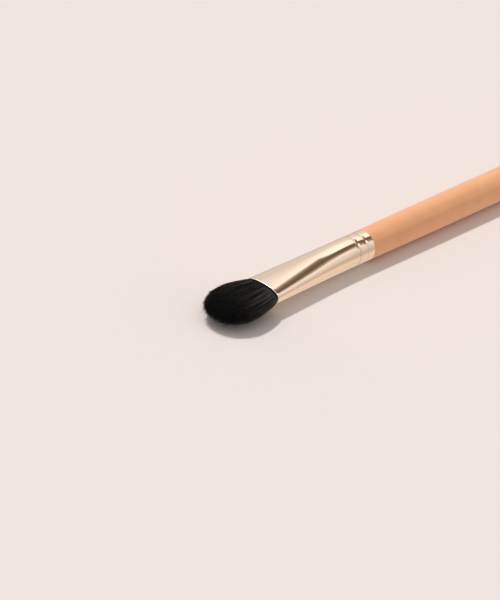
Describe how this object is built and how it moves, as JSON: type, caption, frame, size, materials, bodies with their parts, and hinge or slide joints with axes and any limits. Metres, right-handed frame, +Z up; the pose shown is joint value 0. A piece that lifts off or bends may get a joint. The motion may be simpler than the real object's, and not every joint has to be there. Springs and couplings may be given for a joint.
{
  "type": "eyeshadow brush",
  "caption": "Flat eyeshadow brush with a lacquered wooden handle, a metal ferrule pressed from round to oval, and a domed oval tuft of black hair.",
  "frame": {"origin": "under the middle of the brush's length, on the surface that it lies on", "axes": "+X along the brush from the handle's tail to the tuft's tip, +Y across its wide side, +Z up, square to its flat side"},
  "size_m": [0.16, 0.0164, 0.0095],
  "materials": {
    "lacquered_wood": "satin lacquer, caramel",
    "adhesive": "set glue",
    "ferrule_metal": "polished, champagne gold",
    "resin": "clear amber resin",
    "bonded_roots": "hair soaked in resin",
    "thread": "twisted thread",
    "hair": "soft black hair with a dull sheen"
  },
  "bodies": {
    "root": {"handle": "lacquered_wood", "tenon_glue": "adhesive", "ferrule": "ferrule_metal", "root_glue": "resin", "root_bundle": "bonded_roots", "binding_thread": "thread", "tuft": "hair"}
  },
  "joints": []
}
